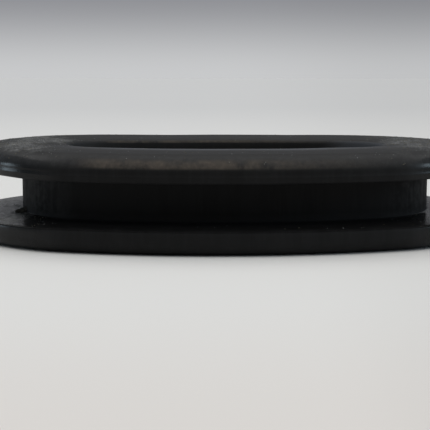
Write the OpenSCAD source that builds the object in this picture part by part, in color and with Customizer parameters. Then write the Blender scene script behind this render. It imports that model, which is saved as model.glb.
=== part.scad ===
// Oval rubber grommet: a sleeve with a flange at each end, moulded in one piece.
// It is pressed into an oval panel cut-out, the panel's edge sits in the groove
// between the flanges, and cables pass through the hole.
// Frame: +X along the length, +Y across, +Z up. The origin is at the middle of the
// lower flange's bottom face.

/* [Neck] */
// Length of the panel cut-out that the neck fills
neck_length = 35; // [28:0.5:60]
// Width of the panel cut-out that the neck fills
neck_width = 19; // [14:0.5:30]
// How far each long side of the neck bows out at its middle
side_bow = 1.4; // [0.4:0.1:3]
// Height of the groove, which is the thickness of the panel that it grips
groove_height = 3.4; // [1:0.1:8]
// Radius of the two inner corners of the groove
groove_corner_radius = 0.2; // [0.05:0.05:0.5]

/* [Hole] */
// Thickness of the rubber between the hole and the neck
wall_thickness = 3.8; // [1.5:0.1:5]
// Rounding of the hole's upper and lower rims
rim_radius = 0.4; // [0.1:0.05:0.9]

/* [Upper flange] */
// How far the upper flange stands out past the neck
upper_overhang = 3.6; // [1.5:0.1:8]
// Thickness of the upper flange
upper_thickness = 2.2; // [1.5:0.1:5]
// Rounding of the upper flange's top outer edge
upper_edge_radius = 1.35; // [0.2:0.05:1.45]
// Rounding of the upper flange's lip, over the groove
upper_lip_radius = 0.15; // [0.05:0.05:0.5]

/* [Lower flange] */
// How far the lower flange stands out past the neck
lower_overhang = 4.6; // [1.5:0.1:9]
// Thickness of the lower flange
lower_thickness = 1.9; // [1.5:0.1:5]
// Rounding of the lower flange's bottom outer edge
lower_edge_radius = 1.1; // [0.2:0.05:1.3]
// Rounding of the lower flange's lip, under the groove
lower_lip_radius = 0.15; // [0.05:0.05:0.6]

/* [Moulding nib] */
// How far the nib left by the mould stands out from the end of the neck
nib_reach = 0.85; // [0.4:0.05:2]
// Diameter of the nib where it leaves the neck
nib_diameter = 1; // [0.6:0.05:1.2]
// Diameter of the nib at its torn tip
nib_tip_diameter = 0.25; // [0.05:0.01:0.4]
// Height of the nib's axis over the lower flange
nib_height = 0.1; // [0:0.05:0.6]
// Angle round the left end, from its middle towards the front, at which the nib stands
nib_place = 22; // [0:1:60]

/* [Hidden] */
$fn = 96;

rubber_black = "#1c1c1e";

// The plan is an oval of four arcs that meet smoothly: one at each end, and one
// long flat arc at each side. Every edge of the grommet is that oval, set in or out.
end_radius = neck_width / 2 - side_bow;
end_x = neck_length / 2 - end_radius;
side_y = (end_x * end_x - side_bow * side_bow) / (2 * side_bow);
side_radius = end_radius + side_y + side_bow;

// Where an end arc of the neck's face runs into a side arc, and which way it faces
joint_angle = atan2(side_y, end_x);
joint_x = end_x + end_radius * cos(joint_angle);
joint_y = end_radius * sin(joint_angle);

// One quarter of the oval is built and mirrored. Its arcs run past its two flat
// sides by this many degrees, and are trimmed there to a block of this size.
arc_run_on = 1;
quarter_size = neck_length + neck_width;

// Heights of the groove's floor and ceiling, and of the whole grommet
groove_bottom = lower_thickness;
groove_top = groove_bottom + groove_height;
total_height = groove_top + upper_thickness;

// The nib is rooted this far inside the neck, and is turned by this angle
nib_root = 0.3;
nib_turn = 45;

// What lies outside a round of the given radius, in the corner at the origin
// between +X and +Y
module corner_waste(radius) {
    difference() {
        square(radius);
        translate([radius, radius])
            circle(r = radius);
    }
}

// Flange as it is seen in the section: x = 0 is the neck's face, the well rounded
// edge is the one at the bottom, away from the neck, and the lip is above it
module flange_section(overhang, thickness, edge_radius, lip_radius) {
    difference() {
        translate([-wall_thickness, 0])
            square([wall_thickness + overhang, thickness]);
        translate([overhang, 0])
            mirror([1, 0])
                corner_waste(edge_radius);
        translate([overhang, thickness])
            rotate([0, 0, 180])
                corner_waste(lip_radius);
        translate([-wall_thickness, 0])
            corner_waste(rim_radius);
    }
}

// Section through one side of the grommet, with x = 0 at the neck's face
module grommet_section() {
    flange_section(lower_overhang, lower_thickness, lower_edge_radius, lower_lip_radius);
    translate([0, total_height])
        mirror([0, 1])
            flange_section(upper_overhang, upper_thickness, upper_edge_radius, upper_lip_radius);
    translate([-wall_thickness, groove_bottom])
        square([wall_thickness, groove_height]);
    translate([0, groove_bottom])
        corner_waste(groove_corner_radius);
    translate([0, groove_top])
        mirror([0, 1])
            corner_waste(groove_corner_radius);
}

// The section swept round an arc whose neck face starts at the origin, and runs
// left round the centre, or right if the angle is negative
module sweep(radius, sweep_angle) {
    translate([-radius, 0, 0])
        rotate_extrude(angle = sweep_angle, start = 0)
            translate([radius, 0])
                grommet_section();
}

// One quarter, from the middle of an end to the middle of a side. Both arcs start
// where they meet, so that they share one section there and join into one body.
module quarter() {
    intersection() {
        translate([0, 0, -1])
            cube([quarter_size, quarter_size, total_height + 2]);
        translate([joint_x, joint_y, 0])
            rotate([0, 0, joint_angle]) {
                sweep(end_radius, -joint_angle - arc_run_on);
                sweep(side_radius, 90 - joint_angle + arc_run_on);
            }
    }
}

// One long side with half of each end
module long_side() {
    quarter();
    mirror([1, 0, 0])
        quarter();
}

// Nib that the mould leaves at the foot of the neck, at the left end. It is turned
// on its own axis, which keeps its seam off the neck's.
module moulding_nib() {
    translate([-end_x, 0, groove_bottom + nib_height])
        rotate([0, 0, nib_place])
            translate([nib_root - end_radius, 0, 0])
                rotate([0, -90, 0])
                    rotate([0, 0, nib_turn])
                        cylinder(h = nib_reach + nib_root, d1 = nib_diameter, d2 = nib_tip_diameter);
}

module grommet() {
    color(rubber_black) {
        long_side();
        mirror([0, 1, 0])
            long_side();
        moulding_nib();
    }
}

grommet();
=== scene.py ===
"""Oval rubber grommet: one moulded piece of black rubber, lying on its wider flange."""
import math
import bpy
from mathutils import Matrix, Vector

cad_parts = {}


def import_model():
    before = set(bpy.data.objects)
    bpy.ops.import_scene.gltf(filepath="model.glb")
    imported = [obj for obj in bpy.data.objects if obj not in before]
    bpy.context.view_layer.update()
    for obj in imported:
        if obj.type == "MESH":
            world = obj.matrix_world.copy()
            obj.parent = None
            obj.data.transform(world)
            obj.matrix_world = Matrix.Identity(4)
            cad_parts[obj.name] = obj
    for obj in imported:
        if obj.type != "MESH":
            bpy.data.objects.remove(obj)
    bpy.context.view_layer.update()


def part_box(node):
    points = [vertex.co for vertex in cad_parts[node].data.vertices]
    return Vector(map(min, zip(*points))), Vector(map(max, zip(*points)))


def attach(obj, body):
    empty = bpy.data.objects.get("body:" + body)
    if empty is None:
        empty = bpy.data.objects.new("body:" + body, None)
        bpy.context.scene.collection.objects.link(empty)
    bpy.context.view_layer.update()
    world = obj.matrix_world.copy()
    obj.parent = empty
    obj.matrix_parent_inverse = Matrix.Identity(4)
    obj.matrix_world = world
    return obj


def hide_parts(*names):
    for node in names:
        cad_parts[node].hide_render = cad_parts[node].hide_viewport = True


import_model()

from types import SimpleNamespace

import bmesh
import bpy
from mathutils import Matrix, Vector, noise
from mathutils.bvhtree import BVHTree

MM = 0.001

# ---------------------------------------------------------------- sizes
# The overall size comes from the frame, and the rest repeats the part's own sizes.
box_low, box_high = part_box("grommet")
LENGTH = box_high.x - box_low.x
WIDTH = box_high.y - box_low.y
HEIGHT = box_high.z - box_low.z

LOWER_OVERHANG = 4.6 * MM
UPPER_OVERHANG = 3.6 * MM
LOWER_THICKNESS = 1.9 * MM
UPPER_THICKNESS = 2.2 * MM
WALL_THICKNESS = 3.8 * MM
SIDE_BOW = 1.4 * MM
UPPER_EDGE_ROUNDING = 1.35 * MM
LOWER_EDGE_ROUNDING = 1.1 * MM
RIM_ROUNDING = 0.4 * MM
GROOVE_CORNER = 0.2 * MM
UPPER_LIP_ROUNDING = 0.15 * MM
LOWER_LIP_ROUNDING = 0.15 * MM

NECK_LENGTH = LENGTH - 2 * LOWER_OVERHANG
NECK_WIDTH = WIDTH - 2 * LOWER_OVERHANG
GROOVE_BOTTOM = LOWER_THICKNESS
GROOVE_TOP = HEIGHT - UPPER_THICKNESS

# The neck's oval: four arcs that meet smoothly
END_RADIUS = NECK_WIDTH / 2 - SIDE_BOW
END_CENTRE = NECK_LENGTH / 2 - END_RADIUS
SIDE_CENTRE = (END_CENTRE ** 2 - SIDE_BOW ** 2) / (2 * SIDE_BOW)
SIDE_RADIUS = END_RADIUS + SIDE_CENTRE + SIDE_BOW
JOINT_ANGLE = math.atan2(SIDE_CENTRE, END_CENTRE)

# The moulding nib stands this far out, at this angle round the left end
NIB_REACH = 0.85 * MM
NIB_RADIUS = 0.5 * MM
NIB_TIP_RADIUS = 0.125 * MM
NIB_ROOT = 0.3 * MM
NIB_HEIGHT = 0.1 * MM
NIB_PLACE = math.radians(22)

# How the moulded rubber departs from the drawn shape
TOP_CROWN = 0.10 * MM
LEFT_LIFT = 0.17 * MM
RIGHT_LIFT = 0.08 * MM
UNEVENNESS = 0.03 * MM

# Fine raised line that the mould leaves round the upper flange's wall
PARTING_HEIGHT = GROOVE_TOP + 0.50 * MM
PARTING_WIDTH = 0.18 * MM
PARTING_RISE = 0.024 * MM

# Its shape, as shares of that width and that rise
PARTING_SHAPE = ((-0.5, 0), (-0.2, 0.8), (0.1, 1), (0.5, 0))

# How finely the body is divided
SECTION_STEP = 0.28 * MM
ROUNDING_STEP = 0.6 * SECTION_STEP
END_POINTS = 140
SIDE_POINTS = 116

# Where the camera stands, and how it is turned
CAMERA_AWAY = 86.74 * MM
CAMERA_SIDE = -0.93 * MM
CAMERA_HEIGHT = 13.61 * MM
CAMERA_PITCH = math.radians(8.17)
CAMERA_TURN = math.radians(2.25)
CAMERA_ROLL = math.radians(0.11)
LENS = 83.7
SENSOR = 36


# ---------------------------------------------------------------- node helpers
def add_node(tree, kind, inputs=None, **settings):
    """Adds a node, sets its properties, and sets or links its inputs by name or number."""
    node = tree.nodes.new(kind)
    for name, value in settings.items():
        setattr(node, name, value)
    for key, value in (inputs or {}).items():
        socket = node.inputs[key]
        if isinstance(value, bpy.types.NodeSocket):
            tree.links.new(value, socket)
        else:
            socket.default_value = value
    return node


def ease(tree, value, low, high, at_low=0.0, at_high=1.0):
    """Turns smoothly from at_low to at_high as the value goes from low to high."""
    return add_node(
        tree,
        "ShaderNodeMapRange",
        {"Value": value, "From Min": low, "From Max": high, "To Min": at_low, "To Max": at_high},
        interpolation_type="SMOOTHSTEP",
    ).outputs[0]


def maths(tree, operation, a, b=0.0):
    return add_node(tree, "ShaderNodeMath", {0: a, 1: b}, operation=operation).outputs[0]


def total(tree, first, *others):
    for other in others:
        first = maths(tree, "ADD", first, other)
    return first


def product(tree, first, *others):
    for other in others:
        first = maths(tree, "MULTIPLY", first, other)
    return first


def greatest(tree, first, *others):
    for other in others:
        first = maths(tree, "MAXIMUM", first, other)
    return first


def split(tree, vector):
    """The X, Y and Z of a vector, by name."""
    return add_node(tree, "ShaderNodeSeparateXYZ", {0: vector}).outputs


def new_shape_tree(name, sizes):
    """Starts a Geometry Nodes tree with named inputs. Returns it with its input node."""
    tree = bpy.data.node_groups.new(name, "GeometryNodeTree")
    tree.interface.new_socket("Geometry", in_out="OUTPUT", socket_type="NodeSocketGeometry")
    tree.interface.new_socket("Geometry", in_out="INPUT", socket_type="NodeSocketGeometry")
    for label, kind in sizes.items():
        tree.interface.new_socket(label, in_out="INPUT", socket_type=kind)
    return tree, tree.nodes.new("NodeGroupInput")


def run_shape_tree(piece, tree, values):
    """Runs a tree on a piece with the given named sizes, and keeps the result as a plain mesh."""
    modifier = piece.modifiers.new("shape", "NODES")
    modifier.node_group = tree
    for item in tree.interface.items_tree:
        if item.in_out == "INPUT" and item.name in values:
            modifier[item.identifier] = values[item.name]
    depsgraph = bpy.context.evaluated_depsgraph_get()
    made = bpy.data.meshes.new_from_object(piece.evaluated_get(depsgraph))
    piece.modifiers.remove(modifier)
    piece.data = made
    made.name = piece.name


def new_piece(name, mesh):
    piece = bpy.data.objects.new(name, mesh)
    bpy.context.scene.collection.objects.link(piece)
    return piece


# ---------------------------------------------------------------- materials
def new_material(name, roughness, specular):
    """Starts a material. Returns it with its node tree and its shader."""
    material = bpy.data.materials.new(name)
    material.use_nodes = True
    shader = material.node_tree.nodes["Principled BSDF"]
    shader.distribution = "GGX"
    shader.inputs["Roughness"].default_value = roughness
    shader.inputs["Specular IOR Level"].default_value = specular
    return material, material.node_tree, shader


def object_place(tree, stretch=(1, 1, 1)):
    """Position on the piece in metres, with each axis stretched by a factor."""
    place = add_node(tree, "ShaderNodeTexCoord").outputs["Object"]
    return add_node(tree, "ShaderNodeMapping", {"Vector": place, "Scale": stretch}).outputs[0]


def grain(tree, place, size, detail, low, high):
    """Noise whose lumps are about the given size across, turned into 0 to 1 between two levels."""
    made = add_node(
        tree, "ShaderNodeTexNoise", {"Vector": place, "Scale": 1 / size, "Detail": detail}
    )
    return ease(tree, made.outputs[0], low, high)


def blend_colour(tree, factor, below, above):
    colours = {0: factor}
    for key, value in ((6, below), (7, above)):
        colours[key] = (*value, 1) if isinstance(value, tuple) else value
    return add_node(tree, "ShaderNodeMix", colours, data_type="RGBA").outputs[2]


BLACK_RUBBER = (0.0030, 0.0030, 0.0031)
GREY_BLOOM = (0.0100, 0.0100, 0.0103)
# Grey dust, also used as painted sheen on the neck's ends and as painted light on the top of the
# hole's wall
GREY_DUST_AND_PAINTED_LIGHT = (0.0300, 0.0300, 0.0305)
# Painted bluish highlight for the hole's near rim, also used as painted light on the hole's inner
# right end
PAINTED_BLUE_SHEEN = (0.0720, 0.0760, 0.0860)
TAN_SCUFF = (0.125, 0.104, 0.084)
# Pale film of dust on the level faces at the ends, which also stands in as painted sheen there
PALE_FILM_AND_SHEEN = (0.131, 0.132, 0.131)
PALE_GRAIN = (0.42, 0.43, 0.43)
RUBBER_SPECULAR = 0.2

# Where each part of the rubber begins, and where it is fully reached
UPPER_FLANGE = (GROOVE_TOP, GROOVE_TOP + 0.3 * MM)
LOWER_FLANGE = (GROOVE_BOTTOM + 0.12 * MM, GROOVE_BOTTOM + 0.06 * MM)
FOOT_ABOVE_LEDGE = (GROOVE_BOTTOM + 0.02 * MM, GROOVE_BOTTOM + 0.05 * MM)
FOOT_BELOW_NECK = (GROOVE_BOTTOM + 0.70 * MM, GROOVE_BOTTOM + 0.10 * MM)
BORE_WALL = (0.20 * MM - WALL_THICKNESS, 0.05 * MM - WALL_THICKNESS)
BORE_TOP = (HEIGHT - 1.7 * MM, HEIGHT - 0.4 * MM)

# The same for each mark on it, by the distance along X, Y or out from the neck
DARK_LEDGE_ALONG = (18 * MM, 15 * MM)
DUSTY_LEDGE_REACH = (3.4 * MM, 1.0 * MM)
# The neck's grey streaks, which also stand in as painted sheen on its ends
NECK_STREAKS_AND_SHEEN_ALONG = (11.5 * MM, 17.0 * MM)
NECK_DULL_ALONG = (11 * MM, 16 * MM)
# Where the painted highlight on the hole's near rim lies
RIM_SHEEN_REACH = (0, -2.8 * MM)
RIM_SHEEN_ALONG = (12.5 * MM, 7 * MM)
RIM_SHEEN_SIDE = (-2 * MM, -5 * MM)
# Where the painted light on the top of the hole's wall starts and is full
BORE_LIGHT_ALONG = (7 * MM, 12 * MM)
# Where the painted light on the hole's inner right end starts and is full
LIT_BORE_END_X = (9 * MM, 11.5 * MM)
SCUFF_LEFT_X = (-12.5 * MM, -9.5 * MM)
SCUFF_RIGHT_X = (14 * MM, -4 * MM)
# Where the pale film and its painted sheen lie on the ends
LEFT_FILM_X = (-13.8 * MM, -17.0 * MM)
RIGHT_FILM_X = (12.0 * MM, 17.0 * MM)
LOWER_FILM_ALONG = (16.0 * MM, 18.7 * MM)
FILM_NEAR_SIDE = (-10 * MM, -6 * MM)
FILM_OUTER_EDGE = (18.8 * MM, 17.4 * MM)
FILM_DRIFT = 4.5 * MM
POLISHED_ALONG = (12.5 * MM, 15.5 * MM)

# The same by how far a face is turned up, from 0 for upright to 1 for level
LEVEL = (0.75, 0.98)
LEDGE_TOP = (0.1, 0.5)
DUST_OVER_UPRIGHT = (0.02, 0.55)
DUST_TO_LEVEL = (0.80, 1.0)
SHOULDER_OVER_UPRIGHT = (0.16, 0.36)
SHOULDER_TO_LEVEL = (0.84, 0.60)
SIDE = (0.90, 0.60)

# The grains in the marks: how large the lumps are, how much finer detail they have,
# and the levels of noise at which each starts and is full
BLOOM_CLOUDS = (1.3 * MM, 3.0, 0.35, 0.65)
BLOOM_SPOTS = (0.30 * MM, 2.0, 0.45, 0.75)
MOTTLE_CLOUDS = (0.5 * MM, 4.0, 0.35, 0.7)
MOTTLE_SPOTS = (0.12 * MM, 2.0, 0.5, 0.7)
DUST_STREAKS = (0.9 * MM, 3.0, 0.44, 0.58)
DUST_SPOTS = (0.55 * MM, 4.0, 0.44, 0.58)
SCUFF_CLOUDS = (1.6 * MM, 4.0, 0.25, 0.6)
SCUFF_SPOTS = (0.3 * MM, 2.0, 0.4, 0.7)
FILM_WANDER = (4.5 * MM, 3.0, 0.3, 0.7)
FILM_CLOUDS = (2.4 * MM, 2.0, 0.3, 0.7)
FILM_GRAINS = (0.14 * MM, 1.0, 0.62, 0.70)
SKIN_GRAIN = (0.09 * MM, 3.0, 0.2, 0.8)
SKIN_LUMPS = (0.9 * MM, 3.0, 0.2, 0.8)
SKIN_DEPTH = 0.012 * MM


def rubber_places(tree):
    """What the marks on the rubber go by: positions, slopes, and the parts of the grommet."""
    at = SimpleNamespace()
    at.place = object_place(tree)
    at.upright = object_place(tree, (1, 1, 0.12))
    axis = split(tree, at.place)
    at.x, at.y, height = axis["X"], axis["Y"], axis["Z"]
    at.along = maths(tree, "ABSOLUTE", at.x)
    at.up = split(tree, add_node(tree, "ShaderNodeNewGeometry").outputs["Normal"])["Z"]
    at.reach = add_node(tree, "ShaderNodeAttribute", attribute_name="reach").outputs["Fac"]

    at.upper = ease(tree, height, *UPPER_FLANGE)
    at.lower = ease(tree, height, *LOWER_FLANGE)
    at.flanges = total(tree, at.upper, at.lower)
    at.neck = maths(tree, "SUBTRACT", 1.0, at.flanges)
    at.level = ease(tree, at.up, *LEVEL)
    at.foot = product(
        tree, ease(tree, height, *FOOT_ABOVE_LEDGE), ease(tree, height, *FOOT_BELOW_NECK)
    )
    on_ledge = ease(tree, at.up, *LEDGE_TOP)
    at.ledge = product(tree, at.lower, on_ledge, ease(tree, at.along, *DARK_LEDGE_ALONG))
    at.bore = ease(tree, at.reach, *BORE_WALL)
    at.bore_top = ease(tree, height, *BORE_TOP)

    clouds = grain(tree, at.place, *MOTTLE_CLOUDS)
    spots = grain(tree, at.place, *MOTTLE_SPOTS)
    at.mottle = total(tree, product(tree, clouds, 0.5), product(tree, spots, 0.5))
    return at


def grey_bloom(tree, at):
    """How far the rubber has bloomed, most on the neck and the lower flange."""
    clouds = grain(tree, at.upright, *BLOOM_CLOUDS)
    spots = grain(tree, at.upright, *BLOOM_SPOTS)
    return total(
        tree,
        product(tree, total(tree, product(tree, clouds, 0.5), product(tree, spots, 0.5)), 0.8),
        product(tree, at.lower, 0.4),
        product(tree, at.neck, 0.65),
    )


def settled_dust_and_sheen(tree, at, colour):
    """Grey dust in streaks on the neck's ends, lighter there as painted sheen, in the groove's
    corner and on the upper flange.
    """
    streaks = total(
        tree,
        product(tree, grain(tree, at.upright, *DUST_STREAKS), 0.7),
        product(tree, grain(tree, at.place, *DUST_SPOTS), 0.6),
    )
    # Grey streaks and painted sheen on the neck's ends
    neck_end_streaks_and_sheen = product(tree, ease(tree, at.along, *NECK_STREAKS_AND_SHEEN_ALONG), at.neck, streaks)
    colour = blend_colour(tree, neck_end_streaks_and_sheen, colour, GREY_DUST_AND_PAINTED_LIGHT)

    inner_ledge = product(tree, at.ledge, ease(tree, at.reach, *DUSTY_LEDGE_REACH))
    corner = product(tree, greatest(tree, at.foot, inner_ledge), 0.45)
    colour = blend_colour(tree, corner, colour, GREY_DUST_AND_PAINTED_LIGHT)

    on_flange = product(
        tree,
        ease(tree, at.up, *DUST_OVER_UPRIGHT),
        ease(tree, at.up, *DUST_TO_LEVEL, 1.0, 0.15),
        total(tree, product(tree, at.mottle, 0.6), 0.6),
        at.upper,
    )
    return blend_colour(tree, on_flange, colour, GREY_DUST_AND_PAINTED_LIGHT)


def painted_light_round_hole(tree, at, colour):
    """Painted bluish highlight on the hole's near rim, painted bluish light on its inner right end,
    and painted grey light on the top of its wall, fading downwards.
    """
    # Painted highlight along the hole's near rim
    rim = product(
        tree,
        ease(tree, at.reach, *RIM_SHEEN_REACH),
        ease(tree, at.along, *RIM_SHEEN_ALONG, 0.35, 1.0),
        at.upper,
        ease(tree, at.y, *RIM_SHEEN_SIDE),
        at.level,
    )
    # Painted light on the top of the hole's wall, fading downwards
    wall = product(tree, at.bore, ease(tree, at.along, *BORE_LIGHT_ALONG, 0.45, 0.9), at.bore_top)
    # Painted light on the hole's inner right end
    lit_bore_end = product(tree, at.bore, ease(tree, at.x, *LIT_BORE_END_X, 0.0, 0.8))
    colour = blend_colour(tree, rim, colour, PAINTED_BLUE_SHEEN)
    colour = blend_colour(tree, wall, colour, GREY_DUST_AND_PAINTED_LIGHT)
    return blend_colour(tree, lit_bore_end, colour, PAINTED_BLUE_SHEEN)


def shoulder_scuff(tree, at):
    """The rubbed band on the upper flange's shoulders, away from the ends."""
    shoulder = product(
        tree, ease(tree, at.up, *SHOULDER_OVER_UPRIGHT), ease(tree, at.up, *SHOULDER_TO_LEVEL)
    )
    rubbed = product(tree, ease(tree, at.x, *SCUFF_LEFT_X), ease(tree, at.x, *SCUFF_RIGHT_X))
    patches = total(
        tree,
        product(tree, grain(tree, at.place, *SCUFF_CLOUDS), 0.7),
        product(tree, grain(tree, at.place, *SCUFF_SPOTS), 0.3),
    )
    return product(tree, shoulder, rubbed, at.upper, patches, 0.72)


def film_and_sheen_ends(tree, at):
    """The level faces at the grommet's two ends, with a drifting inner edge, where the film of dust
    and its painted sheen lie.
    """
    wander = maths(tree, "SUBTRACT", grain(tree, at.place, *FILM_WANDER), 0.5)
    drift = product(tree, wander, FILM_DRIFT)
    drifted = total(tree, at.x, drift)
    upper_ends = greatest(
        tree, ease(tree, drifted, *LEFT_FILM_X), ease(tree, drifted, *RIGHT_FILM_X, 0.0, 0.72)
    )
    lower_ends = ease(
        tree, total(tree, at.along, product(tree, drift, 0.5)), *LOWER_FILM_ALONG
    )
    return product(
        tree,
        total(tree, product(tree, upper_ends, at.upper), product(tree, lower_ends, at.lower)),
        ease(tree, at.y, *FILM_NEAR_SIDE, 0.35, 1.0),
        ease(tree, at.along, *FILM_OUTER_EDGE, 0.25, 1.0),
        at.level,
    )


def pale_film_and_painted_sheen(tree, at, ends):
    """How thick the film of dust and its painted sheen lie on the ends, heavier on the lower flange.
    """
    heavier = total(tree, product(tree, at.lower, 2.9), 1.75)
    clouds = total(tree, product(tree, grain(tree, at.place, *FILM_CLOUDS), 0.8), 0.6)
    return product(tree, ends, at.mottle, heavier, clouds)


def pale_grains(tree, at, ends):
    """Single grains in the film."""
    grains = product(tree, grain(tree, at.place, *FILM_GRAINS), 0.6)
    return product(tree, ends, total(tree, grains, product(tree, at.lower, 0.35)))


def rubber_roughness(tree, at, bloom, scuff, film):
    """Matt rubber, polished round the flanges' ends and duller where it is dusty or rubbed."""
    side_or_ledge = greatest(tree, at.lower, ease(tree, at.up, *SIDE))
    polish = product(tree, ease(tree, at.along, *POLISHED_ALONG), at.flanges, side_or_ledge)
    return total(
        tree,
        maths(tree, "SUBTRACT", 0.62, product(tree, polish, 0.44)),
        product(tree, bloom, 0.08),
        product(tree, scuff, 0.3),
        product(tree, film, 0.3),
    )


def rubber_specular(tree, at):
    """Less specular on the neck, and least in the groove's corner and on the ledge."""
    neck = product(tree, at.neck, ease(tree, at.along, *NECK_DULL_ALONG, 0.04, 0.13))
    dull = greatest(tree, product(tree, at.foot, 0.11), neck, product(tree, at.ledge, 0.17))
    return maths(tree, "SUBTRACT", RUBBER_SPECULAR, dull)


def rubber_relief(tree, at):
    """The moulded skin's fine grain, as a bumped normal."""
    relief = total(
        tree,
        product(tree, grain(tree, at.place, *SKIN_GRAIN), 0.35),
        product(tree, grain(tree, at.place, *SKIN_LUMPS), 0.65),
    )
    return add_node(
        tree, "ShaderNodeBump", {"Height": relief, "Distance": SKIN_DEPTH, "Strength": 0.6}
    ).outputs[0]


def moulded_rubber():
    """Black rubber: a grey bloom, dust where it can settle, scuffed tan shoulders, a fine grain,
    painted sheen on the ends, and a painted highlight and painted light in the hole.
    """
    material, tree, shader = new_material("moulded_rubber", 0.6, RUBBER_SPECULAR)
    at = rubber_places(tree)
    bloom = grey_bloom(tree, at)
    scuff = shoulder_scuff(tree, at)
    ends = film_and_sheen_ends(tree, at)
    # Film of dust, with painted sheen, on the level faces at the ends
    film = pale_film_and_painted_sheen(tree, at, ends)

    colour = blend_colour(tree, bloom, BLACK_RUBBER, GREY_BLOOM)
    # Dust, with painted sheen on the neck's ends
    colour = settled_dust_and_sheen(tree, at, colour)
    # Painted highlight and painted light in the hole
    colour = painted_light_round_hole(tree, at, colour)
    colour = blend_colour(tree, scuff, colour, TAN_SCUFF)
    colour = blend_colour(tree, film, colour, PALE_FILM_AND_SHEEN)
    colour = blend_colour(tree, pale_grains(tree, at, ends), colour, PALE_GRAIN)

    finish = {
        "Base Color": colour,
        "Roughness": rubber_roughness(tree, at, bloom, scuff, film),
        "Specular IOR Level": rubber_specular(tree, at),
        "Normal": rubber_relief(tree, at),
    }
    for name, socket in finish.items():
        tree.links.new(socket, shader.inputs[name])
    return material


TORN_DARK = (0.034, 0.033, 0.029)
TORN_PALE = (0.125, 0.122, 0.108)
TORN_PATCHES = (0.12 * MM, 3.0, 0.35, 0.65)
TORN_DEPTH = 0.02 * MM


def torn_rubber():
    """The nib's torn rubber, duller and browner than the moulded skin."""
    material, tree, shader = new_material("torn_rubber", 0.85, RUBBER_SPECULAR)
    patches = grain(tree, object_place(tree), *TORN_PATCHES)
    colour = blend_colour(tree, patches, TORN_DARK, TORN_PALE)
    tree.links.new(colour, shader.inputs["Base Color"])
    bump = add_node(tree, "ShaderNodeBump", {"Height": patches, "Distance": TORN_DEPTH})
    tree.links.new(bump.outputs[0], shader.inputs["Normal"])
    return material


WHITE_DUST = (0.24, 0.25, 0.25)
STRAW_DUST = (0.17, 0.155, 0.11)
STRAW_PATCHES = (2.5 * MM, 0.0, 0.4, 0.6)


def pale_dust():
    """Specks of dust, from white to a dull straw colour."""
    material, tree, shader = new_material("pale_dust", 0.9, 0.2)
    patches = grain(tree, object_place(tree), *STRAW_PATCHES)
    colour = blend_colour(tree, patches, WHITE_DUST, STRAW_DUST)
    tree.links.new(colour, shader.inputs["Base Color"])
    return material


FRONT_BOARD = (0.762, 0.728, 0.695)
BOARD = (0.785, 0.778, 0.760)
# Painted shade for the far board
SHADED_FAR_BOARD = (0.645, 0.645, 0.643)
BLACK = (0, 0, 0)

# Where the front colour and the painted shade of the far board start, and where they are full
BOARD_FRONT_Y = (-25 * MM, -55 * MM)
BOARD_BACK_Y = (-20 * MM, 320 * MM)

# The board is painted darker to the right as painted shade, and the backdrop darkens to the
# right, in a fan that opens from this far in front of the middle. Its edges are given as shares of
# the distance from there.
FAN_FRONT = 87 * MM
NEAREST_FAN = 20 * MM
FAN = (0.04, 0.24)


def pale_board():
    """Plain pale board, warmer in front, with painted shade that makes it cooler and darker behind
    and to the right.
    """
    material, tree, shader = new_material("pale_board", 0.9, 0.0)
    axis = split(tree, object_place(tree))
    in_front = ease(tree, axis["Y"], *BOARD_FRONT_Y)
    behind = ease(tree, axis["Y"], *BOARD_BACK_Y)
    depth = greatest(tree, total(tree, axis["Y"], FAN_FRONT), NEAREST_FAN)
    aside = ease(tree, maths(tree, "DIVIDE", axis["X"], depth), *FAN, 0.0, 0.065)
    colour = blend_colour(tree, in_front, BOARD, FRONT_BOARD)
    # Painted shade: the board darker far behind
    colour = blend_colour(tree, behind, colour, SHADED_FAR_BOARD)
    # Painted shade: the board darker to the right
    colour = blend_colour(tree, aside, colour, BLACK)
    tree.links.new(colour, shader.inputs["Base Color"])
    return material


# ---------------------------------------------------------------- the rubber body
def rounded_corner(before, corner, after, radius):
    """Points of the arc that rounds a corner, spaced finely enough for its radius."""
    to_before = (before - corner).normalized()
    to_after = (after - corner).normalized()
    half = to_before.angle(to_after) / 2
    reach = radius / math.tan(half)
    centre = corner + (to_before + to_after).normalized() * (radius / math.sin(half))
    start = corner + to_before * reach - centre
    end = corner + to_after * reach - centre
    turn = math.pi - 2 * half
    steps = max(3, math.ceil(turn * radius / ROUNDING_STEP))
    points = []
    for i in range(steps + 1):
        t = i / steps
        of_start = math.sin((1 - t) * turn) / math.sin(turn)
        of_end = math.sin(t * turn) / math.sin(turn)
        points.append(centre + start * of_start + end * of_end)
    return points


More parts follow.
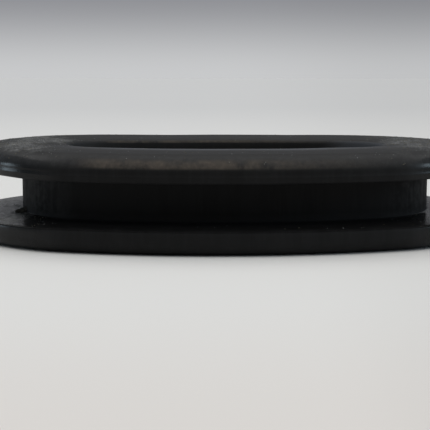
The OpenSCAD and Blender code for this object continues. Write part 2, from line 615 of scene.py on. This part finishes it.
def section_points():
    """The section's outline as points (outwards from the neck's face, height)."""
    corners = [
        (-WALL_THICKNESS, 0, RIM_ROUNDING),
        (LOWER_OVERHANG, 0, LOWER_EDGE_ROUNDING),
        (LOWER_OVERHANG, GROOVE_BOTTOM, LOWER_LIP_ROUNDING),
        (0, GROOVE_BOTTOM, GROOVE_CORNER),
        (0, GROOVE_TOP, GROOVE_CORNER),
        (UPPER_OVERHANG, GROOVE_TOP, UPPER_LIP_ROUNDING),
        (UPPER_OVERHANG, HEIGHT, UPPER_EDGE_ROUNDING),
        (-WALL_THICKNESS, HEIGHT, RIM_ROUNDING),
    ]
    places = [Vector((x, z)) for x, z, _ in corners]
    rounds = []
    for i, (_, _, radius) in enumerate(corners):
        following = places[(i + 1) % len(places)]
        rounds.append(rounded_corner(places[i - 1], places[i], following, radius))
    outline = []
    for i, rounding in enumerate(rounds):
        outline += rounding
        start, end = rounding[-1], rounds[(i + 1) % len(rounds)][0]
        following = corners[(i + 1) % len(corners)]
        if corners[i][0] == following[0] == UPPER_OVERHANG:
            outline += parting_line()
            continue
        steps = max(1, round((end - start).length / SECTION_STEP))
        outline += [start.lerp(end, k / steps) for k in range(1, steps)]
    return [crowned(point) for point in outline]


def parting_line():
    """The points of the fine line raised on the upper flange's wall."""
    points = []
    for side, rise in PARTING_SHAPE:
        out = UPPER_OVERHANG + rise * PARTING_RISE
        points.append(Vector((out, PARTING_HEIGHT + side * PARTING_WIDTH)))
    return points


def crowned(point):
    """Lowers the upper flange's top towards its two edges, so that it is slightly domed."""
    half = (UPPER_OVERHANG + WALL_THICKNESS) / 2
    off_middle = (point.x + WALL_THICKNESS - half) / half
    share = max(0, (point.y - GROOVE_TOP) / UPPER_THICKNESS)
    return Vector((point.x, point.y - TOP_CROWN * share * off_middle ** 2))


def section_mesh():
    points = section_points()
    mesh = bpy.data.meshes.new("section")
    loop = [(i, (i + 1) % len(points)) for i in range(len(points))]
    mesh.from_pydata([(p.x, -p.y, 0) for p in points], loop, [])
    reach = mesh.attributes.new("reach", "FLOAT", "POINT")
    for i, point in enumerate(points):
        reach.data[i].value = point.x
    return mesh


# Where the lift of the upper flange starts, and where it is full
FAR_SIDE_Y = (-8 * MM, 4 * MM)
FAR_HALF_OUT = (3 * MM, 16 * MM)
END_OUT = (13 * MM, 19 * MM)

# The uneven surface's lumps are this large, and start between these heights
LUMP_SIZE = 5 * MM
OFF_UNDERSIDE = (0.2 * MM, 1.0 * MM)

# Ends of curves that lie closer than this are one point
JOIN_DISTANCE = 0.01 * MM


def joined(tree, *parts):
    """Joins curves, in the order given."""
    join = add_node(tree, "GeometryNodeJoinGeometry")
    for part in reversed(parts):
        tree.links.new(part, join.inputs[0])
    return join.outputs[0]


def level_arc(tree, points, radius, start, sweep, offset):
    """A level arc of the given radius, its centre moved by the offset."""
    curve = add_node(
        tree,
        "GeometryNodeCurveArc",
        {"Resolution": points, "Radius": radius, "Start Angle": start, "Sweep Angle": sweep},
    ).outputs["Curve"]
    moved = {"Geometry": curve, "Translation": offset}
    return add_node(tree, "GeometryNodeTransform", moved).outputs[0]


def flat_vector(tree, x, y):
    return add_node(tree, "ShaderNodeCombineXYZ", {"X": x, "Y": y}).outputs[0]


def oval_path(tree, size):
    """The neck's oval as one closed level curve."""
    end = level_arc(
        tree,
        size["End points"],
        size["End radius"],
        product(tree, size["Joint angle"], -1.0),
        product(tree, size["Joint angle"], 2.0),
        flat_vector(tree, size["End centre"], 0.0),
    )
    side = level_arc(
        tree,
        size["Side points"],
        size["Side radius"],
        size["Joint angle"],
        maths(tree, "SUBTRACT", math.pi, product(tree, size["Joint angle"], 2.0)),
        flat_vector(tree, 0.0, product(tree, size["Side centre"], -1.0)),
    )
    half = joined(tree, end, side)
    half_turn = {"Geometry": half, "Rotation": (0, 0, math.pi)}
    turned = add_node(tree, "GeometryNodeTransform", half_turn).outputs[0]
    whole = joined(tree, half, turned)
    wire = add_node(tree, "GeometryNodeCurveToMesh", {"Curve": whole}).outputs[0]
    merge = {"Geometry": wire, "Distance": JOIN_DISTANCE}
    closed = add_node(tree, "GeometryNodeMergeByDistance", merge).outputs[0]
    path = add_node(tree, "GeometryNodeMeshToCurve", {"Mesh": closed}).outputs[0]
    return add_node(tree, "GeometryNodeSetCurveNormal", {"Curve": path}).outputs[0]


def lifted(tree, swept, here, size):
    """Lifts the upper flange at its two ends and along its far side."""
    axis = split(tree, here)
    far_side = ease(tree, axis["Y"], *FAR_SIDE_Y)

    def curled(outwards):
        far_half = product(tree, far_side, ease(tree, outwards, *FAR_HALF_OUT))
        return greatest(tree, far_half, ease(tree, outwards, *END_OUT))

    lift = total(
        tree,
        product(tree, curled(product(tree, axis["X"], -1.0)), size["Left lift"]),
        product(tree, curled(axis["X"]), size["Right lift"]),
    )
    upper = ease(tree, axis["Z"], GROOVE_BOTTOM, GROOVE_TOP)
    offset = add_node(tree, "ShaderNodeCombineXYZ", {"Z": product(tree, upper, lift)}).outputs[0]
    moved = {"Geometry": swept, "Offset": offset}
    return add_node(tree, "GeometryNodeSetPosition", moved).outputs[0]


def unevened(tree, surface, here, size):
    """Pushes the surface in and out a little, off the flat underside."""
    noise_at = {"Vector": here, "Scale": 1 / LUMP_SIZE, "Detail": 1.0}
    lumps = add_node(tree, "ShaderNodeTexNoise", noise_at).outputs[0]
    off_floor = ease(tree, split(tree, here)["Z"], *OFF_UNDERSIDE)
    push = product(tree, maths(tree, "SUBTRACT", lumps, 0.5), size["Unevenness"], off_floor, 2.0)
    normal = add_node(tree, "GeometryNodeInputNormal").outputs[0]
    offset = add_node(
        tree, "ShaderNodeVectorMath", {0: normal, "Scale": push}, operation="SCALE"
    ).outputs[0]
    moved = {"Geometry": surface, "Offset": offset}
    return add_node(tree, "GeometryNodeSetPosition", moved).outputs[0]


def finish_shape_tree(tree, surface, material):
    """Ends a tree: instances made real, then the material, then the output."""
    real = add_node(tree, "GeometryNodeRealizeInstances", {"Geometry": surface}).outputs[0]
    coat = {"Geometry": real, "Material": material}
    painted = add_node(tree, "GeometryNodeSetMaterial", coat).outputs[0]
    tree.links.new(painted, tree.nodes.new("NodeGroupOutput").inputs[0])


def oval_sweep_tree():
    """Sweeps the section it is given round an oval of four arcs."""
    sizes = {
        "End radius": "NodeSocketFloat",
        "End centre": "NodeSocketFloat",
        "Side radius": "NodeSocketFloat",
        "Side centre": "NodeSocketFloat",
        "Joint angle": "NodeSocketFloat",
        "End points": "NodeSocketInt",
        "Side points": "NodeSocketInt",
        "Left lift": "NodeSocketFloat",
        "Right lift": "NodeSocketFloat",
        "Unevenness": "NodeSocketFloat",
        "Rubber": "NodeSocketMaterial",
    }
    tree, given = new_shape_tree("oval_sweep", sizes)
    size = given.outputs

    section = add_node(tree, "GeometryNodeMeshToCurve", {"Mesh": size["Geometry"]}).outputs[0]
    sweep = {"Curve": oval_path(tree, size), "Profile Curve": section}
    swept = add_node(tree, "GeometryNodeCurveToMesh", sweep).outputs[0]
    outward = add_node(tree, "GeometryNodeFlipFaces", {"Mesh": swept}).outputs[0]
    here = add_node(tree, "GeometryNodeInputPosition").outputs[0]
    raised = lifted(tree, outward, here, size)
    uneven = unevened(tree, raised, here, size)
    smooth = add_node(tree, "GeometryNodeSetShadeSmooth", {"Geometry": uneven}).outputs[0]
    finish_shape_tree(tree, smooth, size["Rubber"])
    return tree


def rubber_body(rubber):
    piece = new_piece("rubber_body", section_mesh())
    run_shape_tree(
        piece,
        oval_sweep_tree(),
        {
            "End radius": END_RADIUS,
            "End centre": END_CENTRE,
            "Side radius": SIDE_RADIUS,
            "Side centre": SIDE_CENTRE,
            "Joint angle": JOINT_ANGLE,
            "End points": END_POINTS,
            "Side points": SIDE_POINTS,
            "Left lift": LEFT_LIFT,
            "Right lift": RIGHT_LIFT,
            "Unevenness": UNEVENNESS,
            "Rubber": rubber,
        },
    )
    return part_of_grommet(piece)


def part_of_grommet(piece):
    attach(piece, "root")
    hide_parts("grommet")
    return piece


# ---------------------------------------------------------------- the nib
NIB_RINGS = 12
NIB_SIDES = 28
NIB_TEAR = 0.06 * MM
NIB_TEAR_SIZE = 0.16 * MM
NIB_TIP_DOME = 0.4 * NIB_TIP_RADIUS


def moulding_nib(rubber):
    """A torn cone that stands out from the neck's foot at the left end."""
    built = bmesh.new()
    rings = []
    length = NIB_ROOT + NIB_REACH
    for i in range(NIB_RINGS + 1):
        t = i / NIB_RINGS
        radius = NIB_RADIUS + (NIB_TIP_RADIUS - NIB_RADIUS) * t
        ring = []
        for k in range(NIB_SIDES):
            turn = 2 * math.pi * k / NIB_SIDES
            side = Vector((0, math.cos(turn), math.sin(turn)))
            place = Vector((-length * t, 0, 0)) + side * radius
            torn = noise.noise(place / NIB_TEAR_SIZE) * NIB_TEAR * t
            ring.append(built.verts.new(place + side * torn))
        rings.append(ring)
    for lower, upper in zip(rings, rings[1:]):
        for k in range(NIB_SIDES):
            after = (k + 1) % NIB_SIDES
            built.faces.new((lower[k], lower[after], upper[after], upper[k]))
    built.faces.new(reversed(rings[0]))
    tip = built.verts.new((-length - NIB_TIP_DOME, 0, 0))
    for k in range(NIB_SIDES):
        built.faces.new((rings[-1][k], rings[-1][(k + 1) % NIB_SIDES], tip))
    bmesh.ops.recalc_face_normals(built, faces=built.faces)
    neck_end = Matrix.Translation((NIB_ROOT - END_RADIUS, 0, GROOVE_BOTTOM + NIB_HEIGHT))
    round_end = Matrix.Translation((-END_CENTRE, 0, 0)) @ Matrix.Rotation(NIB_PLACE, 4, "Z")
    built.transform(round_end @ neck_end)
    mesh = bpy.data.meshes.new("moulding_nib")
    built.to_mesh(mesh)
    built.free()
    mesh.shade_smooth()
    mesh.materials.append(rubber)
    return part_of_grommet(new_piece("moulding_nib", mesh))


# ---------------------------------------------------------------- dust
# Specks to the square metre where they lie thickest, which is at the two ends
DUST_DENSITY = 4.5e6
DUST_SEED = 11
DUSTY_ALONG = (12 * MM, 17 * MM)
DUSTY_SLOPE = (0.3, 0.9)

# Each speck is a ball of this radius, stretched and turned by up to this much
SPECK_RADIUS = 0.055 * MM
SMALLEST_SPECK = (0.3, 0.3, 0.3)
LARGEST_SPECK = (1.3, 1.0, 0.9)
SPECK_TURN = (0.4, 0.4, 2 * math.pi)


def dust_tree():
    """Scatters small specks over the faces that look up."""
    sizes = {
        "Density": "NodeSocketFloat",
        "Speck": "NodeSocketFloat",
        "Seed": "NodeSocketInt",
        "Dust": "NodeSocketMaterial",
    }
    tree, given = new_shape_tree("dust", sizes)
    size = given.outputs
    up = split(tree, add_node(tree, "GeometryNodeInputNormal").outputs[0])["Z"]
    axis = split(tree, add_node(tree, "GeometryNodeInputPosition").outputs[0])
    thickness = product(
        tree,
        size["Density"],
        ease(tree, up, *DUSTY_SLOPE),
        ease(tree, maths(tree, "ABSOLUTE", axis["X"]), *DUSTY_ALONG, 0.08, 1.0),
        ease(tree, axis["Z"], GROOVE_BOTTOM, GROOVE_TOP, 0.25, 1.0),
    )
    scatter = {"Mesh": size["Geometry"], "Density": thickness, "Seed": size["Seed"]}
    points = add_node(tree, "GeometryNodeDistributePointsOnFaces", scatter)
    ball = {"Radius": size["Speck"], "Subdivisions": 1}
    speck = add_node(tree, "GeometryNodeMeshIcoSphere", ball)

    def random_vector(least, most):
        spread = {0: least, 1: most, "Seed": size["Seed"]}
        return add_node(
            tree, "FunctionNodeRandomValue", spread, data_type="FLOAT_VECTOR"
        ).outputs[0]

    placed = add_node(
        tree,
        "GeometryNodeInstanceOnPoints",
        {
            "Points": points.outputs["Points"],
            "Instance": speck.outputs["Mesh"],
            "Rotation": random_vector((0, 0, 0), SPECK_TURN),
            "Scale": random_vector(SMALLEST_SPECK, LARGEST_SPECK),
        },
    ).outputs[0]
    finish_shape_tree(tree, placed, size["Dust"])
    return tree


def dust_specks(body, dust):
    piece = new_piece("dust_specks", body.data)
    values = {
        "Density": DUST_DENSITY,
        "Speck": SPECK_RADIUS,
        "Seed": DUST_SEED,
        "Dust": dust,
    }
    run_shape_tree(piece, dust_tree(), values)
    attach(piece, "root")
    return piece


# Larger crumbs that have settled on the rubber: x, y and the height each falls from,
# and how wide it is, in millimetres
CRUMBS = [
    (-16.4, 2.2, 9, 0.13),
    (-10.4, -5.9, 9, 0.10),
    (-15.2, -3.8, 9, 0.07),
    (4.2, -7.2, 9, 0.07),
    (7.9, -7.1, 9, 0.08),
    (8.2, -7.5, 9, 0.06),
    (13.1, -11.0, 9, 0.10),
    (8.3, -12.5, 4, 0.10),
    (9.7, -12.4, 4, 0.06),
    (-19.2, -5.4, 4, 0.08),
]

# How uneven a crumb is, and how large its lumps are. Its height and the height of its
# middle over the rubber are shares of its width.
CRUMB_UNEVENNESS = 0.5
CRUMB_LUMP_SIZE = 0.06 * MM
CRUMB_FLATNESS = 0.6
CRUMB_RISE = 0.2


def dust_crumbs(body, dust):
    """Small lumps that rest where they fall on the body."""
    shape = body.data
    surface = BVHTree.FromPolygons(
        [v.co for v in shape.vertices], [tuple(face.vertices) for face in shape.polygons]
    )
    built = bmesh.new()
    for x, y, fall, width in CRUMBS:
        start = Vector((x, y, fall)) * MM
        rest = surface.ray_cast(start, Vector((0, 0, -1)))[0]
        lump = bmesh.ops.create_icosphere(built, subdivisions=2, radius=width * MM / 2)
        for vert in lump["verts"]:
            rough = 1 + CRUMB_UNEVENNESS * noise.noise((vert.co + start) / CRUMB_LUMP_SIZE)
            flat = Vector((vert.co.x, vert.co.y, CRUMB_FLATNESS * vert.co.z))
            vert.co = rest + flat * rough + Vector((0, 0, CRUMB_RISE * width * MM))
    mesh = bpy.data.meshes.new("dust_crumbs")
    built.to_mesh(mesh)
    built.free()
    mesh.shade_smooth()
    mesh.materials.append(dust)
    piece = new_piece("dust_crumbs", mesh)
    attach(piece, "root")
    return piece


# ---------------------------------------------------------------- stage, light, camera
FLOOR_REACH = 2.0


def floor():
    mesh = bpy.data.meshes.new("floor")
    sides = ((-1, -1), (1, -1), (1, 1), (-1, 1))
    corners = [(x * FLOOR_REACH, y * FLOOR_REACH, 0) for x, y in sides]
    mesh.from_pydata(corners, [], [(0, 1, 2, 3)])
    mesh.materials.append(pale_board())
    piece = new_piece("floor", mesh)


def sun(name, strength, spread, elevation, azimuth, colour):
    """A distant soft lamp. Azimuth 0 is in front of the grommet, 180 is behind it."""
    lamp = bpy.data.lights.new(name, "SUN")
    lamp.energy = strength
    lamp.angle = math.radians(spread)
    lamp.color = colour
    holder = bpy.data.objects.new(name, lamp)
    bpy.context.scene.collection.objects.link(holder)
    tilt = math.radians(90 - elevation)
    holder.rotation_euler = (tilt, 0, math.radians(azimuth))


FRONT_LIGHT = (0.12, 0.12, 0.12)
SIDE_LIGHT = (0.25, 0.285, 0.32)
HORIZON_GREY = (0.576, 0.583, 0.592)
HIGH_GREY = (0.27, 0.275, 0.295)
SOFT_WHITE = (1, 0.99, 0.97)
WINDOW_BLUE = (0.72, 0.88, 1.0)

# Each lamp's strength, its spread, elevation and azimuth in degrees, and its colour
LAMPS = {
    "soft_box": (2.1, 85, 84, 180, SOFT_WHITE),
    "left_window": (0.25, 14, 4, -96, WINDOW_BLUE),
    "right_window": (0.42, 18, 15, 77, WINDOW_BLUE),
}

# Where the parts of the backdrop begin and are full, by the direction that one looks in
BACKDROP_BEHIND = (-0.8, 0.8)
BACKDROP_BESIDE = (0.35, 0.9)
BACKDROP_CLIMB = (-0.005, 0.08)


def world():
    """A pale backdrop that darkens upwards, bluish light from the sides, and a dim room in front."""
    made = bpy.data.worlds.new("studio")
    made.use_nodes = True
    bpy.context.scene.world = made
    tree = made.node_tree
    tree.nodes.clear()
    axis = split(tree, add_node(tree, "ShaderNodeTexCoord").outputs["Generated"])
    behind = ease(tree, axis["Y"], *BACKDROP_BEHIND)
    beside = ease(tree, maths(tree, "ABSOLUTE", axis["X"]), *BACKDROP_BESIDE)
    climb = ease(tree, axis["Z"], *BACKDROP_CLIMB)
    backdrop = blend_colour(tree, climb, HORIZON_GREY, HIGH_GREY)
    aside = ease(tree, axis["X"], *FAN, 0.0, 0.08)
    backdrop = blend_colour(tree, aside, backdrop, BLACK)
    around = blend_colour(tree, behind, FRONT_LIGHT, backdrop)
    around = blend_colour(tree, beside, around, SIDE_LIGHT)
    light = add_node(tree, "ShaderNodeBackground", {"Color": around})
    add_node(tree, "ShaderNodeOutputWorld", {"Surface": light.outputs[0]})


def camera():
    data = bpy.data.cameras.new("camera")
    data.lens = LENS
    data.sensor_width = SENSOR
    data.clip_start = 5 * MM
    data.clip_end = 10
    holder = bpy.data.objects.new("camera", data)
    bpy.context.scene.collection.objects.link(holder)
    c, s = math.cos(CAMERA_TURN), math.sin(CAMERA_TURN)
    holder.location = (
        CAMERA_SIDE * c - CAMERA_AWAY * s,
        -CAMERA_SIDE * s - CAMERA_AWAY * c,
        CAMERA_HEIGHT,
    )
    holder.rotation_euler = (math.pi / 2 - CAMERA_PITCH, -CAMERA_ROLL, -CAMERA_TURN)
    bpy.context.scene.camera = holder


dust = pale_dust()
body = rubber_body(moulded_rubber())
moulding_nib(torn_rubber())
dust_specks(body, dust)
dust_crumbs(body, dust)
floor()
for lamp_name, settings in LAMPS.items():
    sun(lamp_name, *settings)
world()
camera()
bpy.context.scene.view_settings.view_transform = "Standard"
